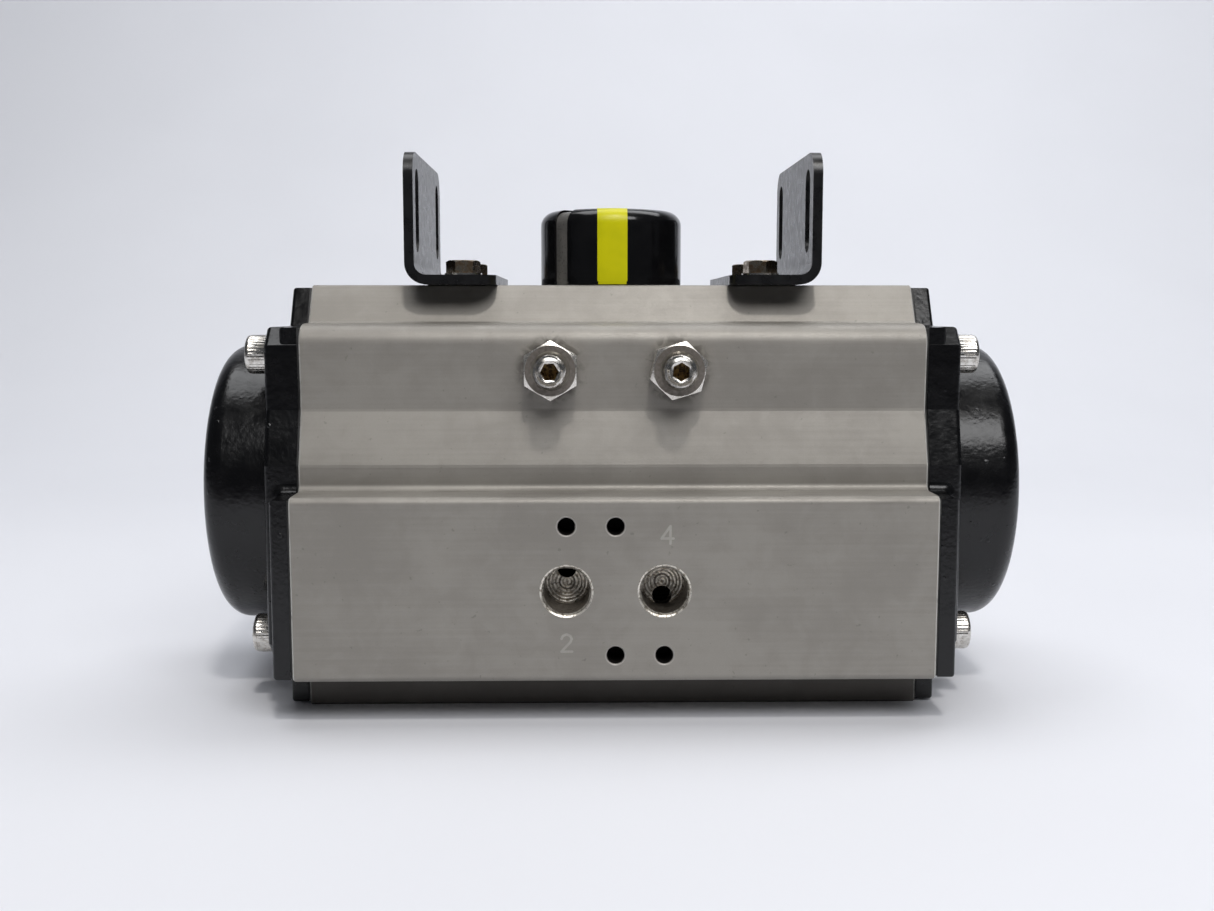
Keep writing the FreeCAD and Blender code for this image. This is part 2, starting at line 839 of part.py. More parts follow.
def make_bearings():
    ring(
        "lower_pinion_bush",
        "low_bush_radius - part_gap",
        "foot_radius + running_gap",
        "low_bush_height - pinion_bottom",
        ("0", "0", "pinion_bottom"),
    )
    ring(
        "upper_pinion_bush",
        "high_bush_radius - part_gap",
        "neck_radius + running_gap",
        "high_bush_height",
        ("0", "0", "body_height - high_bush_height"),
    )
    for label, radius, name, section in (
        ("pinion_seal_lower", "foot_radius", "low_groove", "low_seal_section"),
        ("pinion_seal_upper", "neck_radius", "high_groove", "high_seal_section"),
    ):
        middle = f"{name}_level + {name}_height / 2"
        o_ring(label, f"{radius} + part_gap - {section}", section, ("0", "0", middle))
    ring(
        "slide_washer",
        "slide_washer_radius",
        "neck_radius + running_gap",
        "slide_washer_height",
        ("0", "0", "body_height"),
    )
    steel_level = "body_height + slide_washer_height + washer_gap"
    ring(
        "steel_washer",
        "slide_washer_radius",
        "neck_radius + part_gap",
        "steel_washer_height",
        ("0", "0", steel_level),
    )
    base = ("0", "0", "ring_groove_level + running_gap")
    hoop = cut(
        cylinder("snap_ring_radius", "snap_ring_height", base),
        cylinder("neck_radius - ring_groove_depth + running_gap", "snap_ring_height", base),
        box(
            "snap_ring_mouth",
            "snap_ring_radius",
            "snap_ring_height",
            ("-snap_ring_mouth / 2", "0", "ring_groove_level + running_gap"),
        ),
    )
    keep(hoop, "snap_ring")


def make_stop_cam():
    """A disc with two flats at right angles: each meets one stop screw at its end of travel."""
    body = new_body("stop_cam", ("0", "0", "cam_seat_bottom + screw_gap"))
    disc = sketch_on(body, "XY")
    circle(disc, "0", "0", "cam_radius")
    circle(disc, "0", "0", "cam_seat_radius + part_gap")
    pad(body, disc, "cam_height")
    key = sketch_on(body, "XY")
    rectangle(
        key, "-cam_flat", "-cam_seat_flat - part_gap", "-cam_seat_radius / 2", "cam_seat_radius / 2"
    )
    pad(body, key, "cam_height")
    flats = sketch_on(body, "XY", "cam_height")
    far, near, bevel = f"cam_radius + {OVERSHOOT}", "-cam_flat", "-cam_flat + cam_bevel"
    polygon(
        flats,
        [(minus(far), minus(far)), (far, minus(far)), (far, near), (bevel, near)]
        + [(near, bevel), (near, far), (minus(far), far)],
    )
    pocket(body, flats, "cam_height")


# ---------------------------------------------------------------- position indicator


def indicator_plug(grow):
    """The indicator's outer form, grown outwards or shrunk inwards by an offset."""
    plug = doc.addObject("PartDesign::Body", "plug")
    outline = sketch_on(plug, "XY", "cap_bottom")
    circle(outline, "0", "0", f"cap_radius + {grow}")
    pad(plug, outline, f"cap_top + {grow} - cap_bottom")
    top = value(f"cap_top + {grow}")

    def at_top(edge):
        return all(abs(v.Z - top) < NEAR for v in edge.Vertexes)

    dress(plug, "Fillet", f"cap_round + {grow}", at_top)
    return plug


def bar(width, turn=UPRIGHT):
    """An upright slab through the axis, along Y before it is turned."""
    slab = box(width, "cap_radius * 4", "cap_top", (minus(f"{width} / 2"), "-cap_radius * 2", "0"))
    if turn is UPRIGHT:
        return slab
    turned = doc.addObject("Part::Compound", "Turned")
    turned.Links = [slab]
    turned.Placement = Placement(Vector(), turn)
    return turned


def make_indicator():
    level = ("0", "0", "indicator_well_level")
    well = cylinder("indicator_well_radius", "cap_top", level)
    slant = Rotation(Vector(0, 0, 1), -value("index_turn"))
    pointer_slot = cut(bar("pointer_width"), indicator_plug("-pointer_sink"))
    index_slot = cut(bar("index_width", slant), indicator_plug("-index_depth"))
    cavity = cylinder(
        "cap_cavity_radius", "cap_cavity_top - cap_bottom", ("0", "0", "cap_bottom")
    )
    stem = common(
        cylinder(
            "stem_radius + loose_gap",
            "stem_top + loose_gap * 2 - cap_bottom",
            ("0", "0", "cap_bottom"),
        ),
        box(
            "stem_flats + loose_gap * 2",
            "stem_radius * 4",
            "cap_top",
            ("-stem_flats / 2 - loose_gap", "-stem_radius * 2", "0"),
        ),
    )
    screw_hole = cylinder("indicator_screw_radius + loose_gap", "cap_top", CENTRE)
    keep(
        cut(indicator_plug("0"), pointer_slot, index_slot, cavity, stem, screw_hole, well),
        "indicator_cap",
    )
    skin = cut(indicator_plug("pointer_proud"), indicator_plug("-pointer_sink"))
    keep(cut(common(skin, bar("pointer_width")), well), "indicator_pointer")
    skin = cut(indicator_plug("-index_sink"), indicator_plug("-index_depth"))
    keep(cut(common(skin, bar("index_width", slant)), well), "indicator_index_bar")
    shank = cylinder(
        "indicator_screw_radius",
        "indicator_well_level - indicator_screw_bottom",
        ("0", "0", "indicator_screw_bottom"),
    )
    head = cylinder("indicator_head_radius", "indicator_head_height", level)
    socket = doc.addObject("Part::Prism", "Socket")
    socket.Polygon = 6
    drive(
        place(socket, ("0", "0", "indicator_well_level + indicator_head_height / 2"), UPRIGHT),
        Circumradius="indicator_socket_radius",
        Height="indicator_head_height",
    )
    keep(cut(fuse(shank, head), socket), "indicator_screw")


# ---------------------------------------------------------------- pistons


def make_piston(side, turn):
    """A round head and the rack arm that reaches past the pinion. Local X is the bore's axis."""
    axis_point = ("0", "0", "bore_level")
    body = new_body(f"piston_{side}", axis_point, turn)
    outer = "piston_inner + piston_thick"
    band = groove_along("band_start", "band_width", "band_depth")
    seal = groove_along("seal_start", "seal_width", "seal_depth")
    revolve(
        body,
        [("piston_inner", "0"), ("piston_inner", "piston_radius")]
        + band
        + seal
        + [(outer, "piston_radius"), (outer, "piston_recess_radius")]
        + [(f"{outer} - piston_recess_depth", "piston_recess_radius")]
        + [(f"{outer} - piston_recess_depth", "0")],
        axis="H_Axis",
    )
    arm = sketch_on(body, "XY", "-rack_height / 2")
    pitch = "module * pinion_teeth / 2"
    tips = f"-({pitch}) + rack_addendum"
    rectangle(arm, "-rack_end", "piston_inner + rack_overlap", "-rack_back", tips)
    pad(body, arm, "rack_height")
    gap = sketch_on(body, "XY", "rack_height / 2")
    roots = f"-({pitch}) - tooth_foot * module"
    mouth = f"{tips} + rack_run_out"
    start = "-(rack_gaps - 2.5) * pi * module"
    half = "(pi * module / 4 + backlash / 4)"
    low = f"{half} - tooth_foot * module * tan(pressure_angle * 1 deg)"
    high = f"{half} + (rack_addendum + rack_run_out) * tan(pressure_angle * 1 deg)"
    polygon(
        gap,
        [
            (f"{start} - ({low})", roots),
            (f"{start} + ({low})", roots),
            (f"{start} + ({high})", mouth),
            (f"{start} - ({high})", mouth),
        ],
    )
    first = pocket(body, gap, "rack_height")
    teeth = body.newObject("PartDesign::LinearPattern", f"rack_pattern_{side}")
    teeth.Originals = [first]
    teeth.Direction = (gap, ["H_Axis"])
    teeth.setExpression("Length", bound("(rack_gaps - 1) * pi * module"))
    teeth.setExpression("Occurrences", bound("rack_gaps"))
    body.Tip = teeth
    doc.recompute()


def groove_along(start, width, depth):
    """The corners of a groove around a piston head, along the bore."""
    inside = f"piston_radius - {depth}"
    end = f"{start} + {width}"
    return [(start, "piston_radius"), (start, inside), (end, inside), (end, "piston_radius")]


def make_piston_trim(side, sign):
    """The guide band, the seal and the rack's guide pad of one piston."""
    turn = RIGHTWARD if sign > 0 else LEFTWARD
    liner = "bore_radius - loose_gap"
    ring(
        f"piston_guide_band_{side}",
        liner,
        "piston_radius - band_depth + part_gap",
        "band_width - loose_gap",
        (f"{sign} * (band_start + loose_gap / 2)", "0", "bore_level"),
        turn,
    )
    o_ring(
        f"piston_seal_{side}",
        f"{liner} - seal_section",
        "seal_section",
        (f"{sign} * (seal_start + seal_width / 2)", "0", "bore_level"),
        turn,
    )
    length = "pad_half_length * 2"
    core = cylinder(liner, length, ("-pad_half_length", "0", "bore_level"), RIGHTWARD)
    near = "rack_back" if sign < 0 else "-bore_radius"
    block = box(
        length,
        "bore_radius - rack_back",
        "pad_half_height * 2",
        ("-pad_half_length", near, "bore_level - pad_half_height"),
    )
    keep(common(core, block), f"rack_pad_{side}")


# ---------------------------------------------------------------- travel stops


def make_stop(side, sign):
    """A stop screw with its tip near the cam, and the seal and lock nut outside."""
    tip = (f"{sign} * stop_x", "-cam_flat - stop_gap", "stop_level")
    screw = new_body(f"stop_screw_{side}", tip, FORWARD)
    revolve(
        screw,
        [("0", "0"), ("stop_tip_radius - stop_tip_bevel", "0"), ("stop_tip_radius", "stop_tip_bevel")]
        + [("stop_tip_radius", "stop_tip_length"), ("stop_radius", "stop_tip_length + stop_tip_taper")]
        + [("stop_radius", "stop_length - stop_end_bevel")]
        + [("stop_radius - stop_end_bevel", "stop_length")]
        + [("0", "stop_length")],
    )
    socket = sketch_on(screw, "XY", "stop_length")
    polygon(socket, hexagon_corners("stop_socket"))
    pocket(screw, socket, "stop_socket_depth")
    seat = (f"{sign} * stop_x", "-stop_seat_reach", "stop_level")
    ring(
        f"stop_seal_{side}",
        "stop_seal_radius",
        "stop_radius + running_gap",
        "stop_seal_height",
        seat,
        FORWARD,
    )
    back = (f"{sign} * stop_x", "-stop_seat_reach - stop_seal_height", "stop_level")
    roll = 30 if sign < 0 else 30 - value("stop_nut_turn")
    turn = FORWARD.multiply(Rotation(Vector(0, 0, 1), roll))
    nut = hex_block("stop_nut_flats", "stop_nut_height", back, turn, both_ends=True)
    hole = cylinder("stop_radius + running_gap", "stop_nut_height", back, FORWARD)
    lip = "-stop_seat_reach - stop_seal_height - stop_nut_height + stop_nut_bevel"
    bevel = primitive(
        "Cone",
        (f"{sign} * stop_x", lip, "stop_level"),
        FORWARD,
        Radius1="stop_radius + running_gap",
        Radius2="stop_radius + stop_nut_bevel",
        Height="stop_nut_bevel",
    )
    keep(cut(nut, hole, bevel), f"stop_nut_{side}")


# ---------------------------------------------------------------- brackets


def make_bracket(side, turn):
    """A bent steel angle: its foot lies on the roof and its leaf stands up with two slots."""
    body = new_body(f"bracket_{side}", ("0", "0", "body_height"), turn)
    angle = sketch_on(body, "XZ", "-bracket_half")
    polygon(
        angle,
        [
            ("bracket_inner", "0"),
            ("bracket_outer", "0"),
            ("bracket_outer", "bracket_rise"),
            ("bracket_outer - sheet_thick", "bracket_rise"),
            ("bracket_outer - sheet_thick", "sheet_thick"),
            ("bracket_inner", "sheet_thick"),
        ],
    )
    pad(body, angle, "bracket_half * 2")

    def fold(level, reach):
        def chosen(edge):
            ends = [v.Point for v in edge.Vertexes]
            return all(abs(p.z - value(level)) < NEAR and abs(p.x - value(reach)) < NEAR for p in ends)

        return chosen

    def corner(edge):
        ends = [v.Point for v in edge.Vertexes]
        on_side = abs(ends[0].y + ends[-1].y) > value("bracket_half * 2") - NEAR
        on_top = all(abs(p.z - value("bracket_rise")) < NEAR for p in ends)
        on_tongue = all(abs(p.x - value("bracket_inner")) < NEAR for p in ends)
        return on_side and (on_top or on_tongue)

    inner_fold = fold("sheet_thick", "bracket_outer - sheet_thick")
    dress(body, "Fillet", "bracket_bend - sheet_thick", inner_fold)
    dress(body, "Fillet", "bracket_bend", fold("0", "bracket_outer"))
    dress(body, "Fillet", "bracket_corner", corner)
    holes = sketch_on(body, "XY")
    for upward in ("roof_hole_y", "-roof_hole_y"):
        circle(holes, "roof_hole_x", upward, "bracket_hole_radius")
    pocket(body, holes, "sheet_thick", reverse=True)
    middles = sketch_on(body, "YZ", "bracket_outer")
    ends = sketch_on(body, "YZ", "bracket_outer")
    low, high = "slot_bottom + slot_width / 2", "slot_top - slot_width / 2"
    for centre in ("slot_y", "-slot_y"):
        rectangle(middles, f"{centre} - slot_width / 2", f"{centre} + slot_width / 2", low, high)
        circle(ends, centre, low, "slot_width / 2")
        circle(ends, centre, high, "slot_width / 2")
    pocket(body, middles, "sheet_thick")
    pocket(body, ends, "sheet_thick")


def make_bracket_fasteners(side, sign):
    """Two hexagon bolts and their washers, on the bracket's foot."""
    washers, bolts = [], []
    foot_top = "body_height + sheet_thick"
    seat = f"{foot_top} + washer_height"
    for number, y in enumerate(("roof_hole_y", "-roof_hole_y")):
        x = f"{sign} * roof_hole_x"
        base = (x, y, foot_top)
        disc = cylinder("washer_radius", "washer_height", base)
        washers.append(cut(disc, cylinder("bracket_hole_radius", "washer_height", base)))
        roll = Rotation(Vector(0, 0, 1), 17 * sign + 25 * number)
        head = hex_block("bolt_flats", "bolt_head_height", (x, y, seat), roll)
        tail = (x, y, f"{seat} - bolt_length")
        bolts.append(fuse(head, cylinder("bolt_radius", "bolt_length", tail)))
    keep(group(washers), f"bracket_washers_{side}")
    keep(group(bolts), f"bracket_bolts_{side}")


# ---------------------------------------------------------------- assembly


def make_all():
    make_housing()
    make_pinion()
    make_bearings()
    make_stop_cam()
    make_indicator()
    for side, sign in SIDES.items():
        turn = UPRIGHT if sign > 0 else HALF_TURN
        make_gasket(side, sign)
        make_end_cap(side, sign)
        make_lid_screws(side, sign)
        make_piston(side, turn)
        make_piston_trim(side, sign)
        make_stop(side, sign)
        make_bracket(side, turn)
        make_bracket_fasteners(side, sign)


def export_all():
    """Checks every object and every piece, then writes one STEP file for each piece."""
    doc.recompute()
    for item in doc.Objects:
        if {"Invalid", "Error"} & set(item.State):
            raise ValueError(f"{item.Name} failed: {item.State}")
    for item in pieces:
        if item.Shape.isNull() or not item.Shape.isValid():
            raise ValueError(f"{item.Label} has no valid shape")
    os.makedirs("parts", exist_ok=True)
    for item in pieces:
        item.Shape.exportStep(f"parts/{item.Label}.step")
        print(f"{item.Label}: {len(item.Shape.Solids)} solid(s), {item.Shape.Volume / 1000:.2f} cm3")


make_all()
export_all()
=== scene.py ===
import json
import math

import bmesh
import bpy
from mathutils import Matrix, Vector


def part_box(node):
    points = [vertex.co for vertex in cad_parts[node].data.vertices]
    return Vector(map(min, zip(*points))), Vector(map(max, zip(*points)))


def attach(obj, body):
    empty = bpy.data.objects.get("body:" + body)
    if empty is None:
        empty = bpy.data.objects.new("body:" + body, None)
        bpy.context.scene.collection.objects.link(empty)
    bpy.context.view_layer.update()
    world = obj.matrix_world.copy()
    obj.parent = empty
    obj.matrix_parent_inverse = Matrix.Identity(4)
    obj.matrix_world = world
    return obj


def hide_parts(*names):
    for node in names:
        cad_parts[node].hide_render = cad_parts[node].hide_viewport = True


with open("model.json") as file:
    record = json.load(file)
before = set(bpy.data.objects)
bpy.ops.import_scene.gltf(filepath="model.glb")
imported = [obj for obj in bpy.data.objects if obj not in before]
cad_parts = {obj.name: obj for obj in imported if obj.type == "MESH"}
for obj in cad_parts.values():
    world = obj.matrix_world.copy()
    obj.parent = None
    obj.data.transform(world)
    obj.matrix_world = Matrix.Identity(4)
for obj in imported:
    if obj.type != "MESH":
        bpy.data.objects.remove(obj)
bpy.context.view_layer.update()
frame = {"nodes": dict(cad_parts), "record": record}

MM = 0.001
SIDES = {"right": 1, "left": -1}


def box_mm(node):
    """A node's lowest and highest corners at rest, in millimetres."""
    return [[round(value / MM, 3) for value in corner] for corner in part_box(node)]


# Places and radii on the housing, in millimetres.
PAD_FACE = box_mm("housing")[0][1]
ROOF = box_mm("housing")[1][2]
FRONT = -38
FOOT_FRONT = -36.5
PORT_LEVEL = 34.1
PORTS = (-12, 12)
PORT_RADIUS = 6.6
DUCT_RADIUS = 2.52
DUCT_SHIFTS = (3.6, -3.6)
SCREW_HOLES = ((-12, 50.1), (0, 50.1), (0, 18.1), (12, 18.1))
HOLE_RADIUS = 2.2
nut_low, nut_high = box_mm("stop_nut_right")
STOP_X = (nut_low[0] + nut_high[0]) / 2
STOP_LEVEL = (nut_low[2] + nut_high[2]) / 2


# ---------------------------------------------------------------- materials


class Finish:
    """A Principled material, and short calls that add procedural nodes to it."""

    def __init__(self, name, color, roughness, metallic=0.0, **fixed):
        self.material = bpy.data.materials.new(name)
        self.material.use_nodes = True
        self.nodes = self.material.node_tree.nodes
        self.links = self.material.node_tree.links
        self.shader = self.nodes["Principled BSDF"]
        self.shader.inputs["Base Color"].default_value = (*color, 1)
        self.shader.inputs["Roughness"].default_value = roughness
        self.shader.inputs["Metallic"].default_value = metallic
        for socket, number in fixed.items():
            self.shader.inputs[socket.replace("_", " ")].default_value = number
        self.place = self.nodes.new("ShaderNodeTexCoord").outputs["Object"]
        self.height = None

    def wire(self, source, target):
        if isinstance(source, bpy.types.NodeSocket):
            self.links.new(source, target)
        else:
            target.default_value = source
        return target

    def texture(self, kind, cell, stretch=(1, 1, 1)):
        """A texture node whose cells are about `cell` metres wide, longer along the larger stretches."""
        mapping = self.nodes.new("ShaderNodeMapping")
        mapping.inputs["Scale"].default_value = [1 / cell / s for s in stretch]
        self.links.new(self.place, mapping.inputs["Vector"])
        texture = self.nodes.new(kind)
        texture.inputs["Scale"].default_value = 1.0
        self.links.new(mapping.outputs["Vector"], texture.inputs["Vector"])
        return texture

    def noise(self, cell, detail=4.0, stretch=(1, 1, 1), roughness=0.55, distortion=0.0):
        texture = self.texture("ShaderNodeTexNoise", cell, stretch)
        texture.inputs["Detail"].default_value = detail
        texture.inputs["Roughness"].default_value = roughness
        texture.inputs["Distortion"].default_value = distortion
        return texture.outputs["Fac"]

    def cells(self, cell):
        return self.texture("ShaderNodeTexVoronoi", cell).outputs["Distance"]

    def math(self, operation, first, second=0.0, third=0.0):
        node = self.nodes.new("ShaderNodeMath")
        node.operation = operation
        for source, target in zip((first, second, third), node.inputs):
            self.wire(source, target)
        return node.outputs[0]

    def axis(self, letter):
        split = self.nodes.new("ShaderNodeSeparateXYZ")
        self.links.new(self.place, split.inputs[0])
        return split.outputs[letter]

    def span(self, source, low, high, to_low=0.0, to_high=1.0, smooth=True):
        """Maps a range of a value to another range, clamped."""
        node = self.nodes.new("ShaderNodeMapRange")
        node.interpolation_type = "SMOOTHSTEP" if smooth else "LINEAR"
        for value, name in (
            (source, "Value"),
            (low, "From Min"),
            (high, "From Max"),
            (to_low, "To Min"),
            (to_high, "To Max"),
        ):
            self.wire(value, node.inputs[name])
        return node.outputs["Result"]

    def blend(self, factor, first, second):
        """A colour between two colours."""
        node = self.nodes.new("ShaderNodeMix")
        node.data_type = "RGBA"
        self.wire(factor, node.inputs["Factor"])
        for source, name in ((first, "A"), (second, "B")):
            target = next(s for s in node.inputs if s.name == name and s.type == "RGBA")
            self.wire(source if isinstance(source, bpy.types.NodeSocket) else (*source, 1), target)
        return next(s for s in node.outputs if s.type == "RGBA")

    def before(self, y):
        """1 on the surface in front of a depth, in millimetres."""
        return self.math("LESS_THAN", self.axis("Y"), y * MM)

    def apart(self, x, z):
        """Distance from a line along Y that passes through (x, z), in millimetres."""
        across = self.math("SUBTRACT", self.axis("X"), x * MM)
        upward = self.math("SUBTRACT", self.axis("Z"), z * MM)
        square = self.math("MULTIPLY_ADD", across, across, self.math("MULTIPLY", upward, upward))
        return self.math("MULTIPLY", self.math("SQRT", square), 1 / MM)

    def stroke(self, x, z, run, rise, width, blur=0.06):
        """1 within a straight pen stroke on the front that starts at (x, z), in millimetres."""
        across = self.math("SUBTRACT", self.math("MULTIPLY", self.axis("X"), 1 / MM), x)
        upward = self.math("SUBTRACT", self.math("MULTIPLY", self.axis("Z"), 1 / MM), z)
        along = self.math("MULTIPLY_ADD", across, run, self.math("MULTIPLY", upward, rise))
        share = self.span(along, 0, run * run + rise * rise, smooth=False)
        off_x = self.math("SUBTRACT", across, self.math("MULTIPLY", share, run))
        off_z = self.math("SUBTRACT", upward, self.math("MULTIPLY", share, rise))
        square = self.math("MULTIPLY_ADD", off_x, off_x, self.math("MULTIPLY", off_z, off_z))
        return self.span(self.math("SQRT", square), width / 2 - blur, width / 2 + blur, 1, 0)

    def largest(self, sources):
        found = sources[0]
        for source in sources[1:]:
            found = self.math("MAXIMUM", found, source)
        return found

    def color(self, source):
        self.links.new(source, self.shader.inputs["Base Color"])
        return self

    def roughness(self, source):
        self.links.new(source, self.shader.inputs["Roughness"])
        return self

    def bump(self, height, depth):
        """Adds relief of about `depth` metres on top of the relief already there."""
        node = self.nodes.new("ShaderNodeBump")
        node.inputs["Distance"].default_value = depth
        self.links.new(height, node.inputs["Height"])
        if self.height:
            self.links.new(self.height, node.inputs["Normal"])
        self.height = node.outputs["Normal"]
        self.links.new(self.height, self.shader.inputs["Normal"])
        return self


# The port numbers: the corners of each one's single pen line, and the points on the pad, in
# millimetres, that they are measured from.
DIGITS = {
    "2": [
        (-1.25, 3.2),
        (-0.9, 3.95),
        (0.0, 4.3),
        (0.9, 3.95),
        (1.25, 3.15),
        (0.9, 2.35),
        (-1.3, 0.0),
        (1.35, 0.0),
    ],
    "4": [(0.75, 0.0), (0.75, 4.3), (-1.4, 1.25), (1.5, 1.25)],
}
DIGIT_FEET = {"2": (-12.0, 19.1), "4": (12.6, 45.9)}
PEN_WIDTH = 0.62


def anodised(half_length):
    """Matt grey hard-anodised extrusion with die lines along X.

    It has faint stains, machined ports and bare metal at its two ends. Shade is painted in under the
    pad's overhang, along the ledge above the pad and inside the screw holes and ducts.
    """
    f = Finish("anodised_grey", (0.27, 0.26, 0.235), 0.5, metallic=0.35, Specular_IOR_Level=0.4)
    grain = f.noise(0.00035, detail=5)
    streaks = f.noise(0.0009, detail=3, stretch=(60, 1, 1))
    stains = f.noise(0.022, detail=3, stretch=(1.6, 1, 1))
    patches = f.noise(0.006, detail=4, distortion=0.6)
    shade = f.math("ADD", f.math("MULTIPLY", stains, 0.5), f.math("MULTIPLY", patches, 0.3))
    shade = f.math("ADD", shade, f.math("MULTIPLY", streaks, 0.2))
    base = f.blend(f.span(shade, 0.38, 0.62), (0.25, 0.235, 0.212), (0.295, 0.279, 0.252))
    specks = f.span(f.noise(0.0016, detail=2), 0.70, 0.76)
    base = f.blend(f.math("MULTIPLY", specks, 0.35), base, (0.12, 0.115, 0.10))
    from_middle = f.math("ABSOLUTE", f.axis("X"))
    edge = f.span(from_middle, half_length - 0.4 * MM, half_length - 0.3 * MM)
    worn = f.math("MULTIPLY", edge, f.span(patches, 0.3, 0.5, 0.35, 1.0))
    base = f.blend(worn, base, (0.62, 0.61, 0.57))
    height = f.math("MULTIPLY", f.axis("Z"), 1 / MM)
    smear = f.noise(0.0028, detail=5, distortion=0.8)
    in_front = f.before(FRONT)
    for sign in SIDES.values():
        near = f.span(f.apart(sign * STOP_X, STOP_LEVEL), 6.6, 9.8, 1, 0)
        near = f.math("MULTIPLY", near, in_front)
        oily = f.math("MULTIPLY", near, f.span(smear, 0.42, 0.6, 0.1, 0.75))
        base = f.blend(oily, base, (0.075, 0.066, 0.055))
    # Painted shade: the face under the pad's overhang, below 11 mm and in front of the foot, is darkened
    # to near black.
    painted_shade_under_pad = f.math("MULTIPLY", f.span(height, 10.6, 11.6, 1, 0), f.before(FOOT_FRONT))
    base = f.blend(f.math("MULTIPLY", painted_shade_under_pad, 0.72), base, (0.035, 0.03, 0.026))
    # Painted shade: a streaky darker band along the ledge at the top of the pad.
    ledge = f.math("MULTIPLY", f.span(height, 54.2, 56.4), f.span(height, 57.5, 58.4, 1, 0))
    ledge_streaks = f.noise(0.004, detail=4, stretch=(5, 1, 1))
    painted_ledge_shade = f.math("MULTIPLY", ledge, f.span(ledge_streaks, 0.5, 0.7, 0, 0.4))
    base = f.blend(painted_ledge_shade, base, (0.13, 0.12, 0.105))
    on_pad = f.before(PAD_FACE + 0.1)
    strokes = []
    for digit, (left, low) in DIGIT_FEET.items():
        points = DIGITS[digit]
        for (x, z), (next_x, next_z) in zip(points, points[1:]):
            strokes.append(f.stroke(left + x, low + z, next_x - x, next_z - z, PEN_WIDTH))
    printed = f.math("MULTIPLY", f.largest(strokes), on_pad)
    printed = f.math("MULTIPLY", printed, f.span(patches, 0.3, 0.6, 0.45, 0.9))
    base = f.blend(printed, base, (0.40, 0.385, 0.35))
    for x, z in SCREW_HOLES:
        off = f.apart(x, z)
        ring = f.span(off, HOLE_RADIUS, HOLE_RADIUS + 0.05)
        ring = f.math("MULTIPLY", ring, f.span(off, 2.5, 2.62, 1, 0))
        base = f.blend(f.math("MULTIPLY", ring, in_front), base, (0.42, 0.40, 0.37))
        # Painted shade: the walls inside each screw hole are coloured near black.
        painted_hole_shade = f.math("MULTIPLY", f.math("LESS_THAN", off, HOLE_RADIUS), in_front)
        base = f.blend(painted_hole_shade, base, (0.012, 0.010, 0.009))
    chips = f.noise(0.0009, detail=3, distortion=0.6)
    bright = f.span(chips, 0.34, 0.56)
    offs = [f.apart(x, PORT_LEVEL) for x in PORTS]
    off = f.math("MINIMUM", *offs)
    cut = f.math("MULTIPLY", f.math("LESS_THAN", off, PORT_RADIUS), in_front)
    rings = f.math("SINE", f.math("MULTIPLY", off, 7.5))
    centre = f.math("MULTIPLY", f.span(off, 1.5, 1.7), f.span(off, 1.95, 2.2, 1, 0))
    wall = f.math("MULTIPLY", f.span(off, 5.6, 5.68), f.span(f.axis("Y"), -56.2 * MM, -55.9 * MM))
    floor = f.blend(bright, (0.30, 0.27, 0.22), (0.86, 0.82, 0.74))
    floor = f.blend(f.span(rings, 0.2, 0.95, 0, 0.55), floor, (0.20, 0.17, 0.13))
    floor = f.blend(f.math("MULTIPLY", centre, 0.7), floor, (0.06, 0.05, 0.04))
    floor = f.blend(f.math("MULTIPLY", wall, 0.8), floor, (0.09, 0.068, 0.05))
    # Painted shade: behind the port floors, the walls inside the two ducts are coloured near black.
    ducts = [
        f.math("LESS_THAN", f.apart(x, PORT_LEVEL + shift), DUCT_RADIUS)
        for x, shift in zip(PORTS, DUCT_SHIFTS)
    ]
    painted_duct_shade = f.math("MULTIPLY", f.largest(ducts), f.span(f.axis("Y"), -45.1 * MM, -44.9 * MM))
    floor = f.blend(painted_duct_shade, floor, (0.006, 0.005, 0.004))
    f.color(f.blend(cut, base, floor))
    f.links.new(f.math("MULTIPLY_ADD", cut, 0.45, 0.35), f.shader.inputs["Metallic"])
    fine = f.math("MULTIPLY", cut, -0.14)
    f.roughness(f.math("ADD", f.span(grain, 0.3, 0.7, 0.42, 0.58), fine))
    f.bump(streaks, 0.000006).bump(grain, 0.00001)
    f.bump(f.math("MULTIPLY", f.math("MULTIPLY_ADD", chips, 2, rings), cut), 0.00006)
    return f.material


def powder_coat():
    """Semi-gloss black powder coat with orange peel and a few small blisters."""
    f = Finish("powder_coat_black", (0.0018, 0.0018, 0.0022), 0.24, Specular_IOR_Level=0.42)
    peel = f.noise(0.0011, detail=2, roughness=0.4)
    broad = f.noise(0.004, detail=2)
    blister = f.math("MULTIPLY", f.span(f.cells(0.0042), 0.10, 0.16, 1, 0), f.span(broad, 0.5, 0.6))
    dust = f.span(f.noise(0.0008, detail=2), 0.72, 0.80)
    f.color(f.blend(f.math("MULTIPLY", dust, 0.2), (0.0018, 0.0018, 0.0022), (0.03, 0.03, 0.03)))
    f.roughness(f.span(broad, 0.3, 0.7, 0.2, 0.28))
    f.bump(peel, 0.00006).bump(broad, 0.00005).bump(blister, 0.0001)
    return f.material


def painted_steel():
    """Smooth black paint on bent sheet."""
    f = Finish("bracket_paint_black", (0.004, 0.004, 0.0045), 0.3, Specular_IOR_Level=0.5)
    ripple = f.noise(0.003, detail=2)
    dust = f.span(f.noise(0.0006, detail=2), 0.70, 0.78)
    f.color(f.blend(f.math("MULTIPLY", dust, 0.2), (0.004, 0.004, 0.0045), (0.04, 0.04, 0.04)))
    f.roughness(f.span(ripple, 0.3, 0.7, 0.26, 0.34))
    f.bump(ripple, 0.00002)
    return f.material


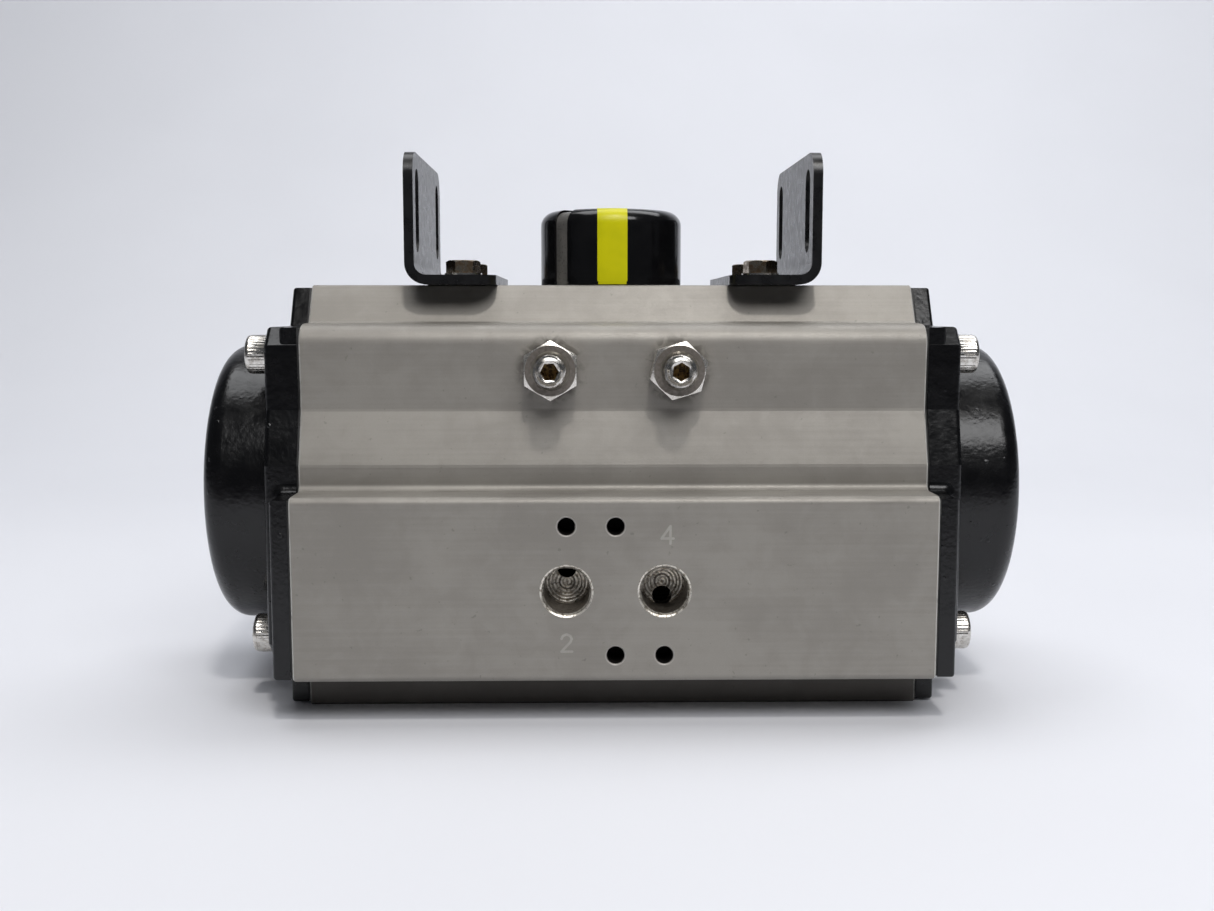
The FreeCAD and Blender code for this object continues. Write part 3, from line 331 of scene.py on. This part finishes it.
def stainless():
    """Bright rolled stainless steel with handling marks."""
    f = Finish("stainless_bright", (0.66, 0.64, 0.60), 0.22, metallic=1.0)
    smudge = f.noise(0.0012, detail=4)
    scratch = f.noise(0.00018, detail=3, stretch=(1, 14, 1))
    f.color(f.blend(f.span(smudge, 0.35, 0.7), (0.72, 0.70, 0.66), (0.46, 0.43, 0.39)))
    f.roughness(f.span(smudge, 0.3, 0.7, 0.16, 0.34))
    f.bump(scratch, 0.000012).bump(smudge, 0.00003)
    return f.material


def nut_steel():
    """A stainless nut: a dull stamped face with brown film, and brighter bevelled corners and flats."""
    f = Finish("nut_steel", (0.3, 0.27, 0.24), 0.4, metallic=0.9)
    film = f.noise(0.0011, detail=5)
    dull = f.blend(f.span(film, 0.35, 0.65), (0.30, 0.27, 0.24), (0.21, 0.185, 0.16))
    off = f.math("MINIMUM", *[f.apart(sign * STOP_X, STOP_LEVEL) for sign in SIDES.values()])
    corner = f.span(off, 6.25, 6.4)
    lip = f.span(off, 4.75, 4.95, 1, 0)
    bare = f.math("MAXIMUM", corner, f.math("MULTIPLY", lip, 0.6))
    f.color(f.blend(bare, dull, (0.74, 0.71, 0.66)))
    f.roughness(f.math("SUBTRACT", f.span(film, 0.3, 0.7, 0.36, 0.5), f.math("MULTIPLY", corner, 0.16)))
    f.bump(film, 0.00008).bump(f.noise(0.0003, detail=2), 0.00002)
    return f.material


def bolt_steel():
    """Plain steel with a brown oil film."""
    f = Finish("bolt_steel", (0.42, 0.36, 0.28), 0.24, metallic=1.0)
    film = f.noise(0.0016, detail=4)
    f.color(f.blend(f.span(film, 0.35, 0.65), (0.50, 0.44, 0.35), (0.20, 0.14, 0.09)))
    f.roughness(f.span(film, 0.3, 0.7, 0.2, 0.36)).bump(film, 0.00004)
    return f.material


def socket_brown():
    """Oily brown residue in a driven socket."""
    f = Finish("socket_residue", (0.16, 0.10, 0.04), 0.4, metallic=0.7)
    grime = f.noise(0.0007, detail=4)
    f.color(f.blend(f.span(grime, 0.35, 0.65), (0.05, 0.025, 0.01), (0.42, 0.29, 0.12)))
    f.roughness(f.span(grime, 0.3, 0.7, 0.3, 0.6)).bump(grime, 0.0001)
    return f.material


def steel(name, color, dark, roughness):
    """Machined steel with turning marks."""
    f = Finish(name, color, roughness, metallic=1.0)
    turned = f.noise(0.0003, detail=3, stretch=(8, 8, 1))
    oil = f.noise(0.004, detail=4)
    f.color(f.blend(f.span(oil, 0.35, 0.7), color, dark))
    f.roughness(f.span(oil, 0.3, 0.7, roughness - 0.08, roughness + 0.1)).bump(turned, 0.00001)
    return f.material


def moulded(name, color, dark, roughness, grain_depth=0.00001, **fixed):
    """Injection-moulded plastic: a little waviness and a fine grain."""
    f = Finish(name, color, roughness, **fixed)
    wave = f.noise(0.007, detail=2)
    grain = f.noise(0.0004, detail=3)
    f.color(f.blend(f.span(wave, 0.35, 0.65), color, dark))
    f.roughness(f.span(grain, 0.3, 0.7, roughness - 0.04, roughness + 0.06))
    f.bump(wave, 0.00006).bump(grain, grain_depth)
    return f.material


FINISHES = {
    "body_aluminium": anodised(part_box("housing")[1].x),
    "cap_black": powder_coat(),
    "bracket_black": painted_steel(),
    "stainless": stainless(),
    "spring_steel": steel("spring_steel", (0.20, 0.20, 0.21), (0.10, 0.09, 0.08), 0.35),
    "pinion_steel": steel("pinion_steel", (0.50, 0.49, 0.46), (0.30, 0.28, 0.25), 0.3),
    "cast_aluminium": steel("cast_aluminium", (0.62, 0.62, 0.62), (0.48, 0.48, 0.48), 0.4),
    "seal_rubber": moulded("seal_rubber", (0.018, 0.018, 0.018), (0.03, 0.03, 0.03), 0.6, 0.00003),
    "bearing_plastic": moulded("bearing_plastic", (0.72, 0.70, 0.62), (0.64, 0.62, 0.55), 0.4),
    "indicator_black": moulded(
        "indicator_black", (0.003, 0.003, 0.0035), (0.005, 0.005, 0.0055), 0.14, Specular_IOR_Level=0.45
    ),
    "indicator_yellow": moulded(
        "indicator_yellow", (0.60, 0.57, 0.001), (0.55, 0.53, 0.001), 0.34, Specular_IOR_Level=0.3
    ),
    "indicator_grey": moulded(
        "indicator_grey", (0.20, 0.19, 0.175), (0.15, 0.145, 0.135), 0.3, metallic=0.3
    ),
}
SLOT_OF = {row["node"]: row["material_slot"] for row in frame["record"]["subparts"]}
CAD_SHARP_ANGLE = math.radians(32)
PIECE_SHARP_ANGLE = math.radians(38)
BEVEL_ANGLE = math.radians(40)


def smooth(mesh, angle):
    """Smooth shading across edges that turn by less than an angle."""
    mesh.polygons.foreach_set("use_smooth", [True] * len(mesh.polygons))
    mesh.set_sharp_from_angle(angle=angle)


def wear(obj, material):
    """Gives an object one material, with smooth shading across gentle edges only."""
    obj.data.materials.clear()
    obj.data.materials.append(material)
    smooth(obj.data, CAD_SHARP_ANGLE)


def soften(obj, width):
    """Rounds an object's sharp edges by a small width, in millimetres."""
    bevel = obj.modifiers.new("soften", "BEVEL")
    bevel.width = width * MM
    bevel.segments = 2
    bevel.limit_method = "ANGLE"
    bevel.angle_limit = BEVEL_ANGLE
    bevel.use_clamp_overlap = True


NUT, BOLT, RESIDUE = nut_steel(), bolt_steel(), socket_brown()
for node, obj in frame["nodes"].items():
    finish = FINISHES[SLOT_OF[node]]
    if node.startswith("stop_nut"):
        finish = NUT
    elif node.startswith("bracket_bolts"):
        finish = BOLT
    wear(obj, finish)
for side in SIDES:
    soften(frame["nodes"][f"bracket_{side}"], 0.25)


# ---------------------------------------------------------------- turned pieces


STEPS = 144
RIDGES = 36


def outline(reach_at):
    """One point for each step round the axis, at the reach that a function gives for its angle."""
    points = []
    for i in range(STEPS):
        angle = 2 * math.pi * i / STEPS
        reach = reach_at(angle)
        points.append((reach * math.cos(angle), reach * math.sin(angle)))
    return points


def circle(radius):
    return outline(lambda angle: radius)


def hexagon(flats):
    """A hexagon by its width across flats, with two corners on the first axis."""
    return outline(lambda angle: flats / 2 / math.cos(angle % (math.pi / 3) - math.pi / 6))


def knurl(radius, depth):
    """A round outline with straight knurling cut into it."""
    return outline(lambda angle: radius - depth * (0.5 - 0.5 * math.cos(RIDGES * angle)))


def thread(radius, depth, height, pitch):
    """One section through a right-hand thread, at one height along its axis."""

    def reach_at(angle):
        phase = (height / pitch - angle / (2 * math.pi)) % 1.0
        return radius - depth * min(1.0, max(0.0, 1.25 - abs(phase - 0.5) * 4))

    return outline(reach_at)


def round_rings(profile):
    """Rings for turned() from pairs of a height and a radius."""
    return [(height, circle(radius)) for height, radius in profile]


def turned(bm, rings, place, inner_from):
    """Adds a closed solid of stacked rings, each a height and its points.

    Faces above ring inner_from get material 1.
    """
    rows = []
    for height, points in rings:
        rows.append([bm.verts.new(place @ Vector((x * MM, y * MM, height * MM))) for x, y in points])
    bm.faces.new(rows[0][::-1])
    for index, (low, high) in enumerate(zip(rows, rows[1:])):
        for i in range(STEPS):
            j = (i + 1) % STEPS
            face = bm.faces.new((low[i], low[j], high[j], high[i]))
            face.material_index = int(index >= inner_from)
    bm.faces.new(rows[-1]).material_index = 1


def piece(name, bm, materials, body, nodes):
    """Puts a mesh in the scene, in place of any CAD nodes named; it rides on one body."""
    bmesh.ops.recalc_face_normals(bm, faces=bm.faces)
    mesh = bpy.data.meshes.new(name)
    bm.to_mesh(mesh)
    bm.free()
    obj = bpy.data.objects.new(name, mesh)
    bpy.context.scene.collection.objects.link(obj)
    for material in materials:
        mesh.materials.append(material)
    smooth(mesh, PIECE_SHARP_ANGLE)
    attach(obj, body)
    if nodes:
        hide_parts(*nodes)


def make_stop_screw(side, sign):
    """A threaded stop screw with a plain tip and a hexagon socket; its axis runs along -Y."""
    node = f"stop_screw_{side}"
    outer_end, tip = (corner[1] for corner in box_mm(node))
    length = tip - outer_end
    radius, depth, pitch, sections = 4.0, 0.38, 1.25, 8
    tip_radius, socket, socket_depth = 2.5, 4.0, 5
    bottom, top = 6.3, length - 0.9
    rings = round_rings([(0, 2.1), (0.4, tip_radius), (5, tip_radius), (6, radius - depth)])
    count = int((top - bottom) / pitch * sections)
    for i in range(count + 1):
        height = bottom + (top - bottom) * i / count
        rings.append((height, thread(radius, depth, height, pitch)))
    rings += round_rings([(length - 0.85, 3.5), (length - 0.15, 2.95), (length, 2.8), (length, 2.62)])
    rings += [(length - 0.28, hexagon(socket)), (length - socket_depth, hexagon(socket))]
    place = Matrix.Translation(Vector((sign * STOP_X, tip, STOP_LEVEL)) * MM)
    place = place @ Matrix.Rotation(math.pi / 2, 4, "X")
    place = place @ Matrix.Rotation(math.radians(12 * sign + 15), 4, "Z")
    bm = bmesh.new()
    turned(bm, rings, place, len(rings) - 2)
    piece(f"threaded_{node}", bm, [FINISHES["stainless"], RESIDUE], node, [node])


def make_cap_screws(side, sign):
    """The four socket head screws of one end cap, with knurled heads."""
    node = f"end_cap_screws_{side}"
    radius, head_radius, head, knurl_depth, socket = 3.0, 5.0, 6.0, 0.16, 5.0
    half_width, half_height, middle = 31, 36.6, ROOF / 2
    near, far = sorted(abs(corner[0]) for corner in box_mm(node))
    length = far - near - head
    bm = bmesh.new()
    levels = (middle - half_height, middle + half_height)
    for index, (y, z) in enumerate((a, b) for a in (-half_width, half_width) for b in levels):
        rings = round_rings([(-length, 2.6), (-length + 0.5, radius), (0, radius), (0, 4.7)])
        rings += round_rings([(0.3, head_radius), (0.8, head_radius)])
        rings += [(level, knurl(head_radius, knurl_depth)) for level in (1.0, head - 1.2)]
        rings += round_rings([(head - 1.0, head_radius - 0.02), (head - 0.55, head_radius - 0.12)])
        rings += round_rings([(head - 0.2, head_radius - 0.4), (head, head_radius - 0.9), (head, 3.1)])
        rings += [(head - 0.2, hexagon(socket)), (head - 3, hexagon(socket))]
        turn = Matrix.Rotation(sign * math.pi / 2, 4, "Y") @ Matrix.Rotation(0.37 * index + 0.2, 4, "Z")
        place = Matrix.Translation(Vector((sign * (far - head), y, z)) * MM) @ turn
        turned(bm, rings, place, len(rings) - 2)
    finishes = [FINISHES["stainless"], RESIDUE]
    piece(f"knurled_screws_{side}", bm, finishes, "root", [node])


def make_indicator_lip():
    """The lower edge of the indicator's three parts, from just above the roof up to the cap."""
    gap, inner, steps = 0.3, 17.2, 360
    low, high = ROOF + gap, box_mm("indicator_cap")[0][2]
    cap_reach, bar_reach, pointer_reach = 19.55, 19.75, 18.95
    bar_half_width, pointer_half_width = 4, 2.4
    bm = bmesh.new()
    loops = []
    for i in range(steps):
        angle = 2 * math.pi * i / steps
        x, y = math.cos(angle), math.sin(angle)
        reach, part = cap_reach, 0
        if abs(x * cap_reach) < bar_half_width:
            reach, part = bar_reach, 1
        elif abs(x - y) * cap_reach / math.sqrt(2) < pointer_half_width:
            reach, part = pointer_reach, 2
        section = [(inner, low), (reach, low), (reach, high), (inner, high)]
        loops.append((part, [bm.verts.new(Vector((x * r, y * r, z)) * MM) for r, z in section]))
    for (part, here), (other, ahead) in zip(loops, loops[1:] + loops[:1]):
        for i in range(4):
            j = (i + 1) % 4
            face = bm.faces.new((here[i], here[j], ahead[j], ahead[i]))
            face.material_index = part if part == other else 0
    finishes = [FINISHES[f"indicator_{color}"] for color in ("black", "yellow", "grey")]
    piece("indicator_lip", bm, finishes, "pinion", [])


make_indicator_lip()
for side, sign in SIDES.items():
    make_stop_screw(side, sign)
    make_cap_screws(side, sign)


# ---------------------------------------------------------------- stage


SKY = (0.86, 0.91, 1.0)
SKY_SEEN, SKY_LIGHT = 0.72, 0.07
DARK_FROM, DARK_TO = -0.24, -0.42
GLOW_FROM, GLOW_TO = -0.45, -1.5


def make_stage():
    """A pale sweep: a floor that curves up into a backdrop.

    In front of the object it is pale to the camera only, and dark to light and reflections.
    Further forward it also glows, to the camera only.
    """
    width, front, back, rise, bend = 3.2, -2.2, 1.3, 2.2, 0.9
    steps = 24
    profile = [(front, 0.0), (back - bend, 0.0)]
    for i in range(1, steps + 1):
        angle = math.pi / 2 * i / steps
        profile.append((back - bend + bend * math.sin(angle), bend - bend * math.cos(angle)))
    profile.append((back, rise))
    verts = [(x, y, z) for y, z in profile for x in (-width, width)]
    faces = [(2 * i, 2 * i + 1, 2 * i + 3, 2 * i + 2) for i in range(len(profile) - 1)]
    mesh = bpy.data.meshes.new("sweep")
    mesh.from_pydata(verts, [], faces)
    sweep = bpy.data.objects.new("sweep", mesh)
    bpy.context.scene.collection.objects.link(sweep)
    paper = Finish("pale_paper", (0.72, 0.73, 0.77), 0.75)
    tone = paper.noise(0.25, detail=2)
    pale = paper.blend(paper.span(tone, 0.3, 0.7), (0.715, 0.725, 0.765), (0.735, 0.745, 0.785))
    seen = paper.nodes.new("ShaderNodeLightPath").outputs["Is Camera Ray"]
    unseen = paper.math("SUBTRACT", 1, seen)
    dim = paper.math("MULTIPLY", paper.span(paper.axis("Y"), DARK_TO, DARK_FROM, 1, 0), unseen)
    paper.color(paper.blend(dim, pale, (0.10, 0.10, 0.11)))
    far = paper.math("MULTIPLY", paper.span(paper.axis("Y"), GLOW_TO, GLOW_FROM, SKY_SEEN, 0), seen)
    paper.shader.inputs["Emission Color"].default_value = (*SKY, 1)
    paper.links.new(far, paper.shader.inputs["Emission Strength"])
    wear(sweep, paper.material)


def area_light(name, direction, distance, size, power, color, target=(0, 0, 0.055)):
    """A rectangular lamp, at a distance in a direction (x, y, z) from its target, that faces it."""
    data = bpy.data.lights.new(name, "AREA")
    data.shape = "RECTANGLE"
    data.size, data.size_y = size
    data.energy = power
    data.color = color
    lamp = bpy.data.objects.new(name, data)
    away = Vector(direction).normalized()
    lamp.location = Vector(target) + away * distance
    lamp.rotation_euler = (-away).to_track_quat("-Z", "Y").to_euler()
    bpy.context.scene.collection.objects.link(lamp)


def make_lights():
    """Four lamps, and a room that looks paler to the camera than the light it gives the object."""
    world = bpy.data.worlds.new("room")
    world.use_nodes = True
    ambient = world.node_tree.nodes["Background"]
    ambient.inputs["Color"].default_value = (*SKY, 1)
    seen = world.node_tree.nodes.new("ShaderNodeLightPath").outputs["Is Camera Ray"]
    glow = world.node_tree.nodes.new("ShaderNodeMapRange")
    glow.inputs["To Min"].default_value = SKY_LIGHT
    glow.inputs["To Max"].default_value = SKY_SEEN
    world.node_tree.links.new(seen, glow.inputs["Value"])
    world.node_tree.links.new(glow.outputs["Result"], ambient.inputs["Strength"])
    bpy.context.scene.world = world
    area_light("key", (0.07, -0.55, 0.85), 1.5, (0.11, 0.11), 6.0, (1.0, 0.97, 0.93))
    area_light("window", (0.26, -0.95, 0.92), 1.4, (1.1, 0.5), 10, (0.99, 0.99, 1.0))
    area_light("ceiling", (0.0, 0.10, 1.0), 1.5, (1.6, 1.2), 2.2, (1.0, 0.98, 0.96))
    area_light("backdrop", (0.10, -0.30, 1.0), 1.2, (1.8, 0.8), 14, (0.96, 0.975, 1.0), (0.10, 0.75, 0.2))
    bpy.context.scene.view_settings.view_transform = "Standard"


def make_camera():
    """The lens and the place from which the object is seen."""
    data = bpy.data.cameras.new("view")
    data.sensor_width = 36
    data.lens = 39.2
    data.clip_start = 0.01
    camera = bpy.data.objects.new("view", data)
    camera.location = Vector((-7.7, -374.4, 102.1)) * MM
    pitch, yaw = math.radians(6.22), math.radians(1.01)
    forward = Vector(
        (math.sin(yaw) * math.cos(pitch), math.cos(yaw) * math.cos(pitch), -math.sin(pitch))
    )
    camera.rotation_euler = forward.to_track_quat("-Z", "Y").to_euler()
    bpy.context.scene.collection.objects.link(camera)
    bpy.context.scene.camera = camera


make_stage()
make_lights()
make_camera()
